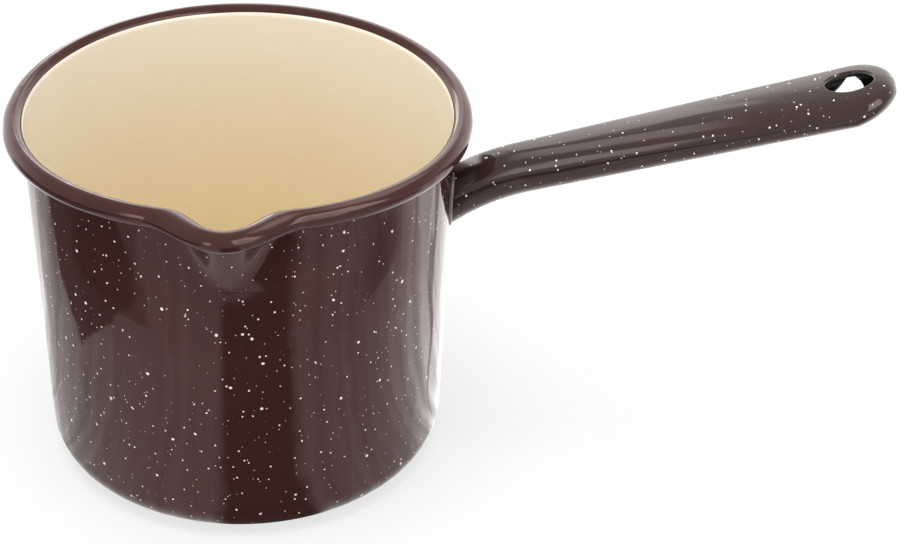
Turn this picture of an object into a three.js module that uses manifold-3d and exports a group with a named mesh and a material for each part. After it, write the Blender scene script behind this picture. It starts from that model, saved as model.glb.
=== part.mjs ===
// Enamel saucepan: a deep-drawn steel milk pan with a pouring lip and a welded sheet handle.
// Frame: millimetres, origin at the middle of the base, +Z up, handle along +X, lip towards -Y.
import * as THREE from "three";
import { mergeVertices } from "three/addons/utils/BufferGeometryUtils.js";
import Module from "manifold-3d";

const wasm = await Module();
wasm.setup();
const degrees = THREE.MathUtils.degToRad;

// Pan body
const MOUTH_RADIUS = 60; // clear radius inside the rolled rim
const PAN_HEIGHT = 108; // table to the top of the rim
const BODY_SHEET = 0.7; // drawn steel
const COAT = 0.25; // fired enamel on one face
const BOND_GAP = 0.04; // hairline between a coat and the steel under it
const WALL_DRAFT = degrees(2.2); // outward lean of the wall
const BASE_CORNER = 9.6; // outside radius between base and wall

// Rolled rim
const BEAD_RADIUS = 2.95; // enamelled roll
const CURL_GAP = 0.1; // left between the end of the roll and the wall
const LIP_ANGLE = degrees(150); // where the cream lining gives way to the rim colour
const COAT_JOINT = 0.1; // line between two neighbouring coats

// Pouring lip, pressed out of the rim, and the rim beside it that it draws in
const SPOUT_REACH = 9.6; // lip beyond the drawn-in rim
const SPOUT_HALF_WIDTH = 16; // along the rim
const SPOUT_DEPTH = 30; // rim down to the point of the throat
const SPOUT_POINT_WIDTH = 0.3; // width at the point against the width at the rim
const DRAW_IN = 6.3; // how far the rim is drawn in
const DRAW_IN_SPREAD = degrees(80); // each way from the lip
const DRAW_IN_DEPTH = 46; // rim down to the round wall

// Handle, measured over its enamel
const ATTACH_DROP = 27.2; // rim down to the centre of the joint on the wall
const NECK_RADIUS = 34;
const NECK_TURN = degrees(26);
const HANDLE_RISE = degrees(15); // slope of the straight grip
const GRIP_LENGTH = 114; // end of the neck to the tip
const ROOT_WIDTH = 15;
const ROOT_THICKNESS = 12.6;
const ROOT_EDGE_RADIUS = 5.4;
const END_WIDTH = 26.2;
const END_THICKNESS = 8.6;
const END_EDGE_RADIUS = 4.2;
const NOSE_SLOPE = 0.75; // power of the underside's rise to the tip: 1 is straight, less is fuller
const HANDLE_SHEET = 0.8;

// Openings of the handle
const HOLE_LENGTH = 14;
const HOLE_WIDTH = 10.8;
const HOLE_SETBACK = 12.4; // tip to the centre of the hanging hole
const NOTCH_LENGTH = 24.9; // point to front edge of the opening underneath
const NOTCH_SETBACK = 8.6; // tip to its front edge
const NOTCH_FLANK = degrees(30); // each side edge against the middle line
const NOTCH_CORNER = 3;
const NOTCH_TOP = -0.9; // its height on the sides, from the middle of the handle

// Welds
const SEAM_WIDTH = 1.2;
const SEAM_GAP = 0.1;
const ROOT_RIDGE = 1.3; // width and height of the weld around the root
const SEAT_GAP = 0.3; // between the wall, the weld and the handle

// Facets
const SPOUT_COLUMNS = 12;
const ROUND_COLUMNS = 32;
const CORNER_STEPS = 4;
const LIP_STEPS = 4;
const CURL_STEPS = 8;
const EDGE_STEPS = 3;
const NECK_STEPS = 4;
const GRIP_STEPS = 3;
const NOSE_STEPS = 6;
const HOLE_STEPS = 24;
const FULLEST_EDGE = 0.49; // largest edge radius, as a share of a section's width or thickness
const MERGE_DISTANCE = 1e-4;

// Layers of the body, as depths from the cream face towards the outside
const COAT_STEP = COAT + BOND_GAP;
const LAYER = {
  liningFace: 0,
  liningBack: COAT,
  steelInside: COAT_STEP,
  steelOutside: COAT_STEP + BODY_SHEET,
  coatBack: COAT_STEP + BODY_SHEET + BOND_GAP,
  coatFace: 2 * COAT_STEP + BODY_SHEET,
};
const BEAD_HEIGHT = PAN_HEIGHT - BEAD_RADIUS;
const NIP_HEIGHT = BEAD_HEIGHT - BEAD_RADIUS; // underside of the roll
const CORNER_CENTRE_RADIUS = MOUTH_RADIUS
  - (BASE_CORNER - LAYER.coatFace) / Math.cos(WALL_DRAFT)
  - (BEAD_HEIGHT - BASE_CORNER) * Math.tan(WALL_DRAFT);

function ease(share) {
  return 0.5 - 0.5 * Math.cos(Math.PI * THREE.MathUtils.clamp(share, 0, 1));
}

// Radius of a layer of the round wall at a height
function wallRadius(depth, height) {
  const cornerRadius = BASE_CORNER - LAYER.coatFace + depth;
  const lean = (height - BASE_CORNER) * Math.tan(WALL_DRAFT);
  return CORNER_CENTRE_RADIUS + cornerRadius / Math.cos(WALL_DRAFT) + lean;
}

// How far a height has come, from 0 at a depth below the rim to 1 at the underside of the roll
function riseShare(height, depthBelowRim) {
  const start = PAN_HEIGHT - depthBelowRim;
  return THREE.MathUtils.clamp((height - start) / (NIP_HEIGHT - start), 0, 1);
}

// Outward shift of the wall: the lip swells out while the rim beside it is drawn in
function mouthShift(angleFromLip, height) {
  const lipShare = riseShare(height, SPOUT_DEPTH);
  const lipWidth = SPOUT_HALF_WIDTH * THREE.MathUtils.lerp(SPOUT_POINT_WIDTH, 1, lipShare);
  const alongRim = Math.abs(angleFromLip) * MOUTH_RADIUS;
  const lip = SPOUT_REACH * lipShare * ease(1 - alongRim / lipWidth);
  const inShare = ease(riseShare(height, DRAW_IN_DEPTH));
  const drawnIn = DRAW_IN * inShare * ease(1 - Math.abs(angleFromLip) / DRAW_IN_SPREAD);
  return lip - drawnIn;
}

// Angles around the pan, measured from the lip, close together across the lip
function columnAngles() {
  const lipAngle = SPOUT_HALF_WIDTH / MOUTH_RADIUS;
  const angles = [];
  for (let i = 0; i < SPOUT_COLUMNS; i += 1) {
    angles.push(lipAngle * (2 * i / SPOUT_COLUMNS - 1));
  }
  for (let i = 0; i < ROUND_COLUMNS; i += 1) {
    angles.push(lipAngle + (2 * Math.PI - 2 * lipAngle) * i / ROUND_COLUMNS);
  }
  return angles;
}

// Turns a closed profile of (radius, height) points, given anticlockwise, into a solid around Z.
// Each quad is split from its lower left to its upper right, so that nested layers match.
function turnedSolid(profile, endsOnAxis) {
  const angles = columnAngles();
  const positions = [];
  const rows = profile.map((point) => {
    const onAxis = point.x === 0;
    const count = onAxis ? 1 : angles.length;
    const start = positions.length / 3;
    for (let j = 0; j < count; j += 1) {
      const fromLip = angles[j] > Math.PI ? angles[j] - 2 * Math.PI : angles[j];
      const radius = onAxis ? 0 : point.x + mouthShift(fromLip, point.y);
      const bearing = angles[j] - Math.PI / 2;
      positions.push(radius * Math.cos(bearing), radius * Math.sin(bearing), point.y);
    }
    return (j) => start + (onAxis ? 0 : j % count);
  });
  const triangles = [];
  const addTriangle = (a, b, c) => {
    if (a !== b && b !== c && c !== a) {
      triangles.push(a, b, c);
    }
  };
  const spans = endsOnAxis ? profile.length - 1 : profile.length;
  for (let i = 0; i < spans; i += 1) {
    const next = (i + 1) % profile.length;
    const rising = profile[next].y > profile[i].y;
    for (let j = 0; j < angles.length; j += 1) {
      const [a, b, c, d] = [rows[i](j), rows[i](j + 1), rows[next](j + 1), rows[next](j)];
      if (rising) {
        addTriangle(a, b, c);
        addTriangle(a, c, d);
      } else {
        addTriangle(a, b, d);
        addTriangle(b, c, d);
      }
    }
  }
  const geometry = new THREE.BufferGeometry();
  geometry.setAttribute("position", new THREE.Float32BufferAttribute(positions, 3));
  geometry.setIndex(triangles);
  return geometry;
}

// Heights of the rows of the wall: where the drawing-in starts, half way on, then evenly up the lip
function wallHeights() {
  const drawInStart = PAN_HEIGHT - DRAW_IN_DEPTH;
  const lipStart = PAN_HEIGHT - SPOUT_DEPTH;
  const heights = [drawInStart, (drawInStart + lipStart) / 2];
  for (let i = 0; i <= LIP_STEPS; i += 1) {
    heights.push(THREE.MathUtils.lerp(lipStart, NIP_HEIGHT, i / LIP_STEPS));
  }
  return heights.sort((low, high) => low - high);
}

// Base corner of one layer, from the flat to the wall
function cornerRows(depth) {
  const radius = BASE_CORNER - LAYER.coatFace + depth;
  const rows = [];
  for (let i = 0; i <= CORNER_STEPS; i += 1) {
    const angle = THREE.MathUtils.lerp(-Math.PI / 2, -WALL_DRAFT, i / CORNER_STEPS);
    const across = CORNER_CENTRE_RADIUS + radius * Math.cos(angle);
    rows.push(new THREE.Vector2(across, BASE_CORNER + radius * Math.sin(angle)));
  }
  return rows;
}

function wallRows(depth, topHeight = NIP_HEIGHT) {
  const heights = wallHeights().filter((height) => height < topHeight);
  heights.push(topHeight);
  return heights.map((height) => new THREE.Vector2(wallRadius(depth, height), height));
}

const CURL_START = Math.PI - WALL_DRAFT;
const CURL_END = -Math.acos((LAYER.coatFace + CURL_GAP) / BEAD_RADIUS - 1); // stops short of the wall
const CURL_OUTSIDE = BEAD_RADIUS - COAT_STEP;
const CURL_INSIDE = CURL_OUTSIDE - BODY_SHEET;

// Angles around the roll, from the inner edge over the top to the end of the sheet
function curlAngles() {
  const steps = Array.from({ length: CURL_STEPS + 1 }, (_, i) => i / CURL_STEPS);
  return steps.map((share) => THREE.MathUtils.lerp(LIP_ANGLE, CURL_END, share));
}

// Arc of the rolled rim at a radius from the middle of the roll
function curlRows(radius, angles) {
  const middle = MOUTH_RADIUS + BEAD_RADIUS / Math.cos(WALL_DRAFT);
  return angles.map((angle) => (
    new THREE.Vector2(middle + radius * Math.cos(angle), BEAD_HEIGHT + radius * Math.sin(angle))
  ));
}

function axisPoint(depth) {
  return new THREE.Vector2(0, LAYER.coatFace - depth);
}

// One drawn sheet: base, wall, lip and rim rolled outwards
function steelBody() {
  const outside = [...cornerRows(LAYER.steelOutside), ...wallRows(LAYER.steelOutside)];
  const rollAngles = [CURL_START, ...curlAngles()];
  const rollInside = curlRows(CURL_INSIDE, rollAngles);
  const rollOutside = curlRows(CURL_OUTSIDE, rollAngles).reverse();
  const inside = [...wallRows(LAYER.steelInside).reverse(), ...cornerRows(LAYER.steelInside).reverse()];
  const profile = [axisPoint(LAYER.steelOutside), ...outside, ...rollInside, ...rollOutside, ...inside];
  return turnedSolid([...profile, axisPoint(LAYER.steelInside)], true);
}

// Cream lining, from the middle of the base to the inner edge of the roll
function innerEnamel() {
  const lipAngles = [CURL_START, LIP_ANGLE + 0.5 * COAT_JOINT / BEAD_RADIUS];
  const face = [...cornerRows(LAYER.liningFace), ...wallRows(LAYER.liningFace)];
  const back = [...cornerRows(LAYER.liningBack), ...wallRows(LAYER.liningBack)];
  const lipBack = curlRows(BEAD_RADIUS - COAT, lipAngles);
  const lipFace = curlRows(BEAD_RADIUS, lipAngles).reverse();
  const profile = [axisPoint(LAYER.liningBack), ...back, ...lipBack, ...lipFace, ...face.reverse()];
  return turnedSolid([...profile, axisPoint(LAYER.liningFace)], true);
}

// Speckled coat on the wall, from the edge of the base to the underside of the roll
function outerEnamel() {
  const top = NIP_HEIGHT - COAT_JOINT;
  const face = [...cornerRows(LAYER.coatFace), ...wallRows(LAYER.coatFace, top)];
  const back = [...cornerRows(LAYER.coatBack), ...wallRows(LAYER.coatBack, top)];
  return turnedSolid([...face, ...back.reverse()], false);
}

// Plain coat on the flat underside, which the pan stands on
function baseEnamel() {
  const edge = CORNER_CENTRE_RADIUS - COAT_JOINT;
  const profile = [[0, 0], [edge, 0], [edge, COAT], [0, COAT]];
  return turnedSolid(profile.map(([radius, height]) => new THREE.Vector2(radius, height)), true);
}

// Plain coat on the rolled rim, from the inner edge over the top to the end of the roll
function rimEnamel() {
  const angles = curlAngles();
  angles[0] -= 0.5 * COAT_JOINT / BEAD_RADIUS;
  const back = curlRows(BEAD_RADIUS - COAT, angles);
  const face = curlRows(BEAD_RADIUS, angles).reverse();
  return turnedSolid([...back, ...face], false);
}

// Centre line of the handle
const ATTACH_HEIGHT = PAN_HEIGHT - ATTACH_DROP;
const ATTACH_RADIUS = wallRadius(LAYER.coatFace, ATTACH_HEIGHT);
const NECK_LENGTH = NECK_RADIUS * NECK_TURN;
const HANDLE_LENGTH = NECK_LENGTH + GRIP_LENGTH;
const NOSE_LENGTH = END_WIDTH / 2;

// Point and slope of the centre line at a distance from the wall: a bent neck, then a straight grip
function handlePlace(distance) {
  const rootSlope = HANDLE_RISE + NECK_TURN;
  const bent = THREE.MathUtils.clamp(distance, 0, NECK_LENGTH);
  const slope = rootSlope - bent / NECK_RADIUS;
  const straight = distance - bent;
  const neckRun = NECK_RADIUS * (Math.sin(rootSlope) - Math.sin(slope));
  const neckRise = NECK_RADIUS * (Math.cos(slope) - Math.cos(rootSlope));
  const x = ATTACH_RADIUS + neckRun + straight * Math.cos(slope);
  const z = ATTACH_HEIGHT + neckRise + straight * Math.sin(slope);
  return { x, z, slope };
}

// Point of the handle's space: distance along it, sideways to the left, and height off the centre line
function handlePoint(distance, side, lift) {
  const { x, z, slope } = handlePlace(distance);
  return new THREE.Vector3(x - lift * Math.sin(slope), side, z + lift * Math.cos(slope));
}

// Rounded rectangle in (side, lift), anticlockwise seen from the tip
function roundedSection(width, top, bottom, edgeRadius) {
  const radius = Math.min(edgeRadius, FULLEST_EDGE * width, FULLEST_EDGE * (top - bottom));
  const points = [];
  for (let corner = 0; corner < 4; corner += 1) {
    const sideCentre = (corner === 0 || corner === 3 ? 1 : -1) * (width / 2 - radius);
    const liftCentre = corner < 2 ? top - radius : bottom + radius;
    for (let i = 0; i <= EDGE_STEPS; i += 1) {
      const angle = (corner + i / EDGE_STEPS) * Math.PI / 2;
      points.push([sideCentre + radius * Math.cos(angle), liftCentre + radius * Math.sin(angle)]);
    }
  }
  return points;
}

// Section of the handle at a share of its taper, set in by a depth.
// Along the nose the top rounds off late, and the underside rises early.
function handleSection(taper, noseShare, depth) {
  const width = THREE.MathUtils.lerp(ROOT_WIDTH, END_WIDTH, taper) - 2 * depth;
  const thickness = THREE.MathUtils.lerp(ROOT_THICKNESS, END_THICKNESS, taper) - 2 * depth;
  const edgeRadius = THREE.MathUtils.lerp(ROOT_EDGE_RADIUS, END_EDGE_RADIUS, taper) - depth;
  const narrowed = width * Math.sqrt(1 - noseShare ** 2);
  const top = thickness / 2 * Math.cbrt(1 - noseShare ** 3);
  const bottom = -thickness / 2 * (1 - noseShare) ** NOSE_SLOPE;
  return roundedSection(narrowed, top, bottom, edgeRadius);
}

// Joins rings of equal length into a closed solid; the last ring may be a single point
function loftedSolid(rings) {
  const positions = [];
  const starts = rings.map((ring) => {
    const start = positions.length / 3;
    ring.forEach((point) => positions.push(point.x, point.y, point.z));
    return start;
  });
  const count = rings[0].length;
  const triangles = [];
  for (let i = 0; i < rings.length - 1; i += 1) {
    for (let j = 0; j < count; j += 1) {
      const next = (j + 1) % count;
      const [a, b] = [starts[i] + j, starts[i] + next];
      if (rings[i + 1].length === 1) {
        triangles.push(a, b, starts[i + 1]);
      } else {
        triangles.push(a, b, starts[i + 1] + next, a, starts[i + 1] + next, starts[i + 1] + j);
      }
    }
  }
  for (let j = 1; j < count - 1; j += 1) {
    triangles.push(starts[0], starts[0] + j + 1, starts[0] + j);
    if (rings.at(-1).length > 1) {
      triangles.push(starts.at(-1), starts.at(-1) + j, starts.at(-1) + j + 1);
    }
  }
  const geometry = new THREE.BufferGeometry();
  geometry.setAttribute("position", new THREE.Float32BufferAttribute(positions, 3));
  geometry.setIndex(triangles);
  return geometry;
}

// Distances of the handle's stations, from inside the wall to the start of the nose
function handleStations() {
  const noseStart = HANDLE_LENGTH - NOSE_LENGTH;
  const stations = [-ROOT_THICKNESS];
  for (let i = 0; i <= NECK_STEPS; i += 1) {
    stations.push(NECK_LENGTH * i / NECK_STEPS);
  }
  for (let i = 1; i <= GRIP_STEPS; i += 1) {
    stations.push(THREE.MathUtils.lerp(NECK_LENGTH, noseStart, i / GRIP_STEPS));
  }
  return stations;
}

// Whole handle as a filled form, set in by a depth from the enamelled face
function handleForm(depth) {
  const noseStart = HANDLE_LENGTH - NOSE_LENGTH;
  const rings = handleStations().map((distance) => {
    const taper = THREE.MathUtils.clamp((distance - NECK_LENGTH) / (noseStart - NECK_LENGTH), 0, 1);
    return handleSection(taper, 0, depth).map(([side, lift]) => handlePoint(distance, side, lift));
  });
  for (let i = 1; i < NOSE_STEPS; i += 1) {
    const share = Math.sin(Math.PI / 2 * i / NOSE_STEPS);
    const distance = noseStart + share * (NOSE_LENGTH - depth);
    rings.push(handleSection(1, share, depth).map(([side, lift]) => handlePoint(distance, side, lift)));
  }
  rings.push([handlePoint(HANDLE_LENGTH - depth, 0, 0)]);
  return solid(loftedSolid(rings));
}

// Upright prism on a flat outline in (distance, side), between two lifts off the straight grip
function gripPrism(outline, lowLift, highLift) {
  const rings = [lowLift, highLift].map((lift) => (
    outline.map((point) => handlePoint(point.x, point.y, lift))
  ));
  return solid(loftedSolid(rings));
}

function hangingHole() {
  const centre = HANDLE_LENGTH - HOLE_SETBACK;
  const oval = new THREE.EllipseCurve(centre, 0, HOLE_LENGTH / 2, HOLE_WIDTH / 2);
  return gripPrism(oval.getPoints(HOLE_STEPS).slice(0, -1), 0, END_THICKNESS);
}

// Opening underneath: the wrapped sheet spreads from the end of its seam to the inside of the nose
function undersideNotch() {
  const front = HANDLE_LENGTH - NOTCH_SETBACK;
  const point = front - NOTCH_LENGTH;
  const inset = NOTCH_CORNER / Math.tan((Math.PI / 2 - NOTCH_FLANK) / 2);
  const cornerSide = NOTCH_LENGTH * Math.tan(NOTCH_FLANK) - inset;
  const cornerTurn = Math.PI / 2 + NOTCH_FLANK;
  const outline = new THREE.Path();
  outline.absarc(front - NOTCH_CORNER, -cornerSide, NOTCH_CORNER, -cornerTurn, 0);
  outline.absarc(front - NOTCH_CORNER, cornerSide, NOTCH_CORNER, 0, cornerTurn);
  outline.lineTo(point, 0);
  return gripPrism(outline.getPoints(EDGE_STEPS), -END_THICKNESS - ROOT_THICKNESS, NOTCH_TOP);
}

// Upright strip under the centre line, from inside the wall into the opening underneath
function seamStrip(width) {
  const end = HANDLE_LENGTH - NOTCH_SETBACK - NOTCH_LENGTH + NOTCH_CORNER;
  const stations = handleStations().filter((distance) => distance < end);
  stations.push(end);
  const rings = stations.map((distance) => [
    handlePoint(distance, width / 2, -ROOT_THICKNESS),
    handlePoint(distance, width / 2, 0),
    handlePoint(distance, -width / 2, 0),
    handlePoint(distance, -width / 2, -ROOT_THICKNESS),
  ]);
  return solid(loftedSolid(rings));
}

// Filled round wall, grown by a clearance
function wallForm(clearance) {
  const [low, high] = [BASE_CORNER, NIP_HEIGHT].map((height) => (
    new THREE.Vector2(wallRadius(LAYER.coatFace, height) + clearance, height)
  ));
  const profile = [new THREE.Vector2(0, low.y), low, high, new THREE.Vector2(0, high.y)];
  return solid(new THREE.LatheGeometry(profile, 2 * ROUND_COLUMNS).rotateX(Math.PI / 2));
}

// Closed geometry to a solid that can be cut and joined
function solid(geometry) {
  const plain = geometry.clone();
  plain.deleteAttribute("normal");
  plain.deleteAttribute("uv");
  const merged = mergeVertices(plain, MERGE_DISTANCE);
  return new wasm.Manifold(new wasm.Mesh({
    numProp: 3,
    vertProperties: new Float32Array(merged.attributes.position.array),
    triVerts: new Uint32Array(merged.index.array),
  }));
}

function geometryOf(form) {
  const mesh = form.getMesh();
  const geometry = new THREE.BufferGeometry();
  geometry.setAttribute("position", new THREE.BufferAttribute(mesh.vertProperties, 3));
  geometry.setIndex(new THREE.BufferAttribute(mesh.triVerts, 1));
  return geometry;
}

// Cuts that the sheet and its coat share: the wall at the root, the hole and the notch
function openHandle(form) {
  return form.subtract(wallForm(SEAT_GAP)).subtract(hangingHole()).subtract(undersideNotch());
}

function handleSheet() {
  return openHandle(handleForm(COAT_STEP).subtract(handleForm(COAT_STEP + HANDLE_SHEET)));
}

function handleSteel() {
  return geometryOf(handleSheet().subtract(seamStrip(SEAM_WIDTH + 2 * SEAM_GAP)));
}

function handleSeamWeld() {
  return geometryOf(handleSheet().intersect(seamStrip(SEAM_WIDTH)));
}

function handleEnamel() {
  return geometryOf(openHandle(handleForm(0).subtract(handleForm(COAT))));
}

// Ridge of weld around the root, against the wall
function handleRootWeld() {
  const collar = handleForm(-SEAT_GAP - ROOT_RIDGE).subtract(handleForm(-SEAT_GAP));
  const band = wallForm(SEAT_GAP + ROOT_RIDGE).subtract(wallForm(SEAT_GAP));
  return geometryOf(collar.intersect(band));
}

const STEEL_LOOK = { color: 0x85878a, roughness: 0.45, metalness: 1 };
const CREAM_LOOK = { color: 0xe2cb9e, roughness: 0.2, metalness: 0 };
const BROWN_LOOK = { color: 0x3c2422, roughness: 0.12, metalness: 0 };
const GROUND_COAT_LOOK = { color: 0x17181a, roughness: 0.3, metalness: 0 };

const PIECES = [
  ["steel_body", steelBody, STEEL_LOOK],
  ["inner_enamel", innerEnamel, CREAM_LOOK],
  ["outer_enamel", outerEnamel, BROWN_LOOK],
  ["base_enamel", baseEnamel, BROWN_LOOK],
  ["rim_enamel", rimEnamel, BROWN_LOOK],
  ["handle_steel", handleSteel, GROUND_COAT_LOOK],
  ["handle_enamel", handleEnamel, BROWN_LOOK],
  ["handle_seam_weld", handleSeamWeld, STEEL_LOOK],
  ["handle_root_weld", handleRootWeld, BROWN_LOOK],
];

const saucepan = new THREE.Group();
for (const [name, makeGeometry, look] of PIECES) {
  const mesh = new THREE.Mesh(makeGeometry(), new THREE.MeshStandardMaterial(look));
  mesh.name = name;
  saucepan.add(mesh);
}

export default saucepan;
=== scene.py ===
"""Enamel saucepan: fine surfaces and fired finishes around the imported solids, in metres.

Frame: origin at the middle of the base, +Z up, handle along +X, pouring lip towards -Y.
"""

import math

import bmesh
import bpy
import numpy as np
from mathutils import Matrix, Vector


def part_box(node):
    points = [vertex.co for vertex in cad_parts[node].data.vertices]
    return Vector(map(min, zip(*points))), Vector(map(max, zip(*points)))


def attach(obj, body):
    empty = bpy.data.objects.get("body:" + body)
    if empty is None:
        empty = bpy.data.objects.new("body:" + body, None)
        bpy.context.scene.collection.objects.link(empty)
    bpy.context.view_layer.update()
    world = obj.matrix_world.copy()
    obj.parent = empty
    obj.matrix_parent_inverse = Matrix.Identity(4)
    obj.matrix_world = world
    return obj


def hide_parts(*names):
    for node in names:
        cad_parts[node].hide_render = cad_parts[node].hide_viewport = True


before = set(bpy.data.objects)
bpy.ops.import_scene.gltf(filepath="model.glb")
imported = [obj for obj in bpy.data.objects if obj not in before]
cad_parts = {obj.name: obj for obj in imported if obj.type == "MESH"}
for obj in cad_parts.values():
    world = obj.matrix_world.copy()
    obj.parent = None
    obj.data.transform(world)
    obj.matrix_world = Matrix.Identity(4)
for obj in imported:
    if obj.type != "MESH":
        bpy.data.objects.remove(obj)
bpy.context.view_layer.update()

bl_info = {
    "name": "Enamel saucepan",
    "version": (1, 0, 0),
    "blender": (4, 5, 0),
    "location": "View3D > Sidebar > Saucepan",
    "description": "Builds a lipped enamel saucepan with a hollow sheet handle",
    "category": "Add Mesh",
}

MM = 0.001
BODY = "root"

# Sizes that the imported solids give
RIM_LOW, RIM_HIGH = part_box("rim_enamel")
PAN_HEIGHT = RIM_HIGH.z
BEAD_RADIUS = (RIM_HIGH.z - RIM_LOW.z) / 2

# Fineness of the surfaces: how many rows or columns of points each stretch has
COLUMNS = 480
STEEL_COLUMNS = 320
CORNER_ROWS = 24
CONE_ROWS = 8
LIP_ROWS = 56
ROLL_ROWS = 64
NECK_ROWS = 26
GRIP_ROWS = 44
HOLE_ROWS = 64
NOSE_ROWS = 22
EDGE_ROWS = 12
HALF_SECTION = 64
SHEET_HALF_SECTION = 40
BEAD_COLUMNS = 20
ROOT_ROWS = 160
# Points closer than this are joined, and edges that turn by more than this stay sharp
WELD_DISTANCE = 1e-6
SHARP_ANGLE = math.radians(40)
# Halving steps of a search, and the least value that is divided by
SOLVE_STEPS = 48
TINY = 1e-9
# Rows along the handle closer than this many decimals of a metre are one row
ROW_DECIMALS = 9
# Rows before the front of the opening underneath start this many corner radii away
CORNER_REACH = 1.5
# How much closer the columns of a section lie towards both its ends
CLUSTERING = 0.12
# Largest share of a section's width or thickness that its edge radius takes
EDGE_LIMIT = 0.49


def length(name, description, millimetres):
    """A length property, given in millimetres and kept in metres."""
    return bpy.props.FloatProperty(
        name=name, description=description, default=millimetres * MM, unit="LENGTH", precision=5
    )


def angle(name, description, degrees):
    """An angle property, given in degrees and kept in radians."""
    return bpy.props.FloatProperty(
        name=name, description=description, default=math.radians(degrees), subtype="ANGLE"
    )


def share(name, description, value):
    """A plain number without a unit."""
    return bpy.props.FloatProperty(name=name, description=description, default=value, min=0.0)


def linear(hex_colour):
    """sRGB hex colour to linear RGBA."""
    parts = [int(hex_colour[i:i + 2], 16) / 255 for i in (1, 3, 5)]
    return [p / 12.92 if p <= 0.04045 else ((p + 0.055) / 1.055) ** 2.4 for p in parts] + [1.0]


def colour(name, description, hex_colour):
    """A colour property, given as an sRGB hex value and kept linear."""
    return bpy.props.FloatVectorProperty(
        name=name, description=description, default=linear(hex_colour), size=4,
        subtype="COLOR", min=0.0, max=1.0,
    )


class PanSizes(bpy.types.PropertyGroup):
    """Sizes of the drawn body, its rolled rim and its pouring lip."""

    mouth_radius: length("Mouth radius", "Clear radius inside the rolled rim", 60)
    height: length("Height", "Table to the top of the rim", PAN_HEIGHT / MM)
    sheet: length("Sheet", "Drawn steel", 0.7)
    coat: length("Coat", "Fired enamel on one face", 0.25)
    bond_gap: length("Bond gap", "Hairline between a coat and the steel under it", 0.04)
    draft: angle("Draft", "Outward lean of the wall", 2.2)
    base_corner: length("Base corner", "Outside radius between base and wall", 9.6)
    bead_radius: length("Bead radius", "Enamelled roll of the rim", BEAD_RADIUS / MM)
    curl_gap: length("Curl gap", "Left between the end of the roll and the wall", 0.1)
    lip_angle: angle("Lip angle", "Where the lining gives way to the rim colour", 150)
    coat_joint: length("Coat joint", "Line between two neighbouring coats", 0.03)
    spout_reach: length("Lip reach", "Lip beyond the drawn-in rim", 9.0)
    spout_half_width: length("Lip half width", "Along the rim", 15.5)
    spout_depth: length("Lip depth", "Rim down to the point of the throat", 23.5)
    spout_point: share("Throat width", "Width at the point against the width at the rim", 0.5)
    roll_spread: length("Roll spread", "How much wider the lip is outside the roll, to each side", 7.5)
    roll_growth: length("Roll growth", "How much thicker the roll gets at the lip", 0.8)
    draw_in: length("Draw-in", "How far the rim beside the lip is drawn in", 6.3)
    draw_in_spread: angle("Draw-in spread", "Each way from the lip", 80)
    draw_in_depth: length("Draw-in depth", "Rim down to the round wall", 46)


class HandleSizes(bpy.types.PropertyGroup):
    """Sizes of the hollow handle, its openings and its welds, measured over the enamel."""

    attach_drop: length("Attachment", "Rim down to the centre of the joint on the wall", 27.6)
    neck_radius: length("Neck radius", "Bend of the neck", 63.5)
    neck_turn: angle("Neck turn", "How far the neck bends", 20)
    rise: angle("Rise", "Slope of the straight grip", 15)
    grip_length: length("Grip length", "End of the neck to the tip", 107.3)
    root_width: length("Root width", "Width at the wall", 15)
    root_thickness: length("Root thickness", "Thickness at the wall", 12.6)
    root_edge: length("Root edge", "Edge radius at the wall", 5.4)
    end_width: length("End width", "Width before the nose", 26.2)
    end_thickness: length("End thickness", "Thickness before the nose", 8.6)
    end_edge: length("End edge", "Edge radius before the nose", 4.2)
    nose_slope: share("Nose slope", "Power of the underside's rise to the tip", 0.75)
    sheet: length("Sheet", "Wrapped steel", 0.8)
    crown: share("Crown", "Rise of the top's middle over its edges, as a share of half the width", 0.14)
    hole_length: length("Hole length", "Hanging hole, along the handle", 13.6)
    hole_width: length("Hole width", "Hanging hole, across the handle", 10.6)
    hole_setback: length("Hole setback", "Tip to the centre of the hole", 12.7)
    hole_roll: length("Hole roll", "Radius of the rounded edge of the hole", 0.5)
    notch_length: length("Notch length", "Point to front of the opening underneath", 25.4)
    notch_setback: length("Notch setback", "Tip to its front edge", 8.6)
    notch_flank: angle("Notch flank", "Each side edge against the middle line", 30)
    notch_corner: length("Notch corner", "Radius of its front corners", 3.4)
    notch_bulge: length("Notch bulge", "How far its front edge bows towards the tip", 0.6)
    notch_shift: length("Notch shift", "How far it sits off the middle, away from the lip", 0.8)
    notch_top: length("Notch top", "Its height on the sides, from the middle of the handle", -0.9)
    seam_width: length("Seam width", "Weld that closes the wrapped sheet", 1.2)
    seam_gap: length("Seam gap", "Beside the seam weld", 0.1)
    seam_ridge: length("Seam ridge", "How far the seam lifts the coat underneath", 0.22)
    root_bead: length("Root bead", "Radius of the weld around the root", 0.6)


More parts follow.
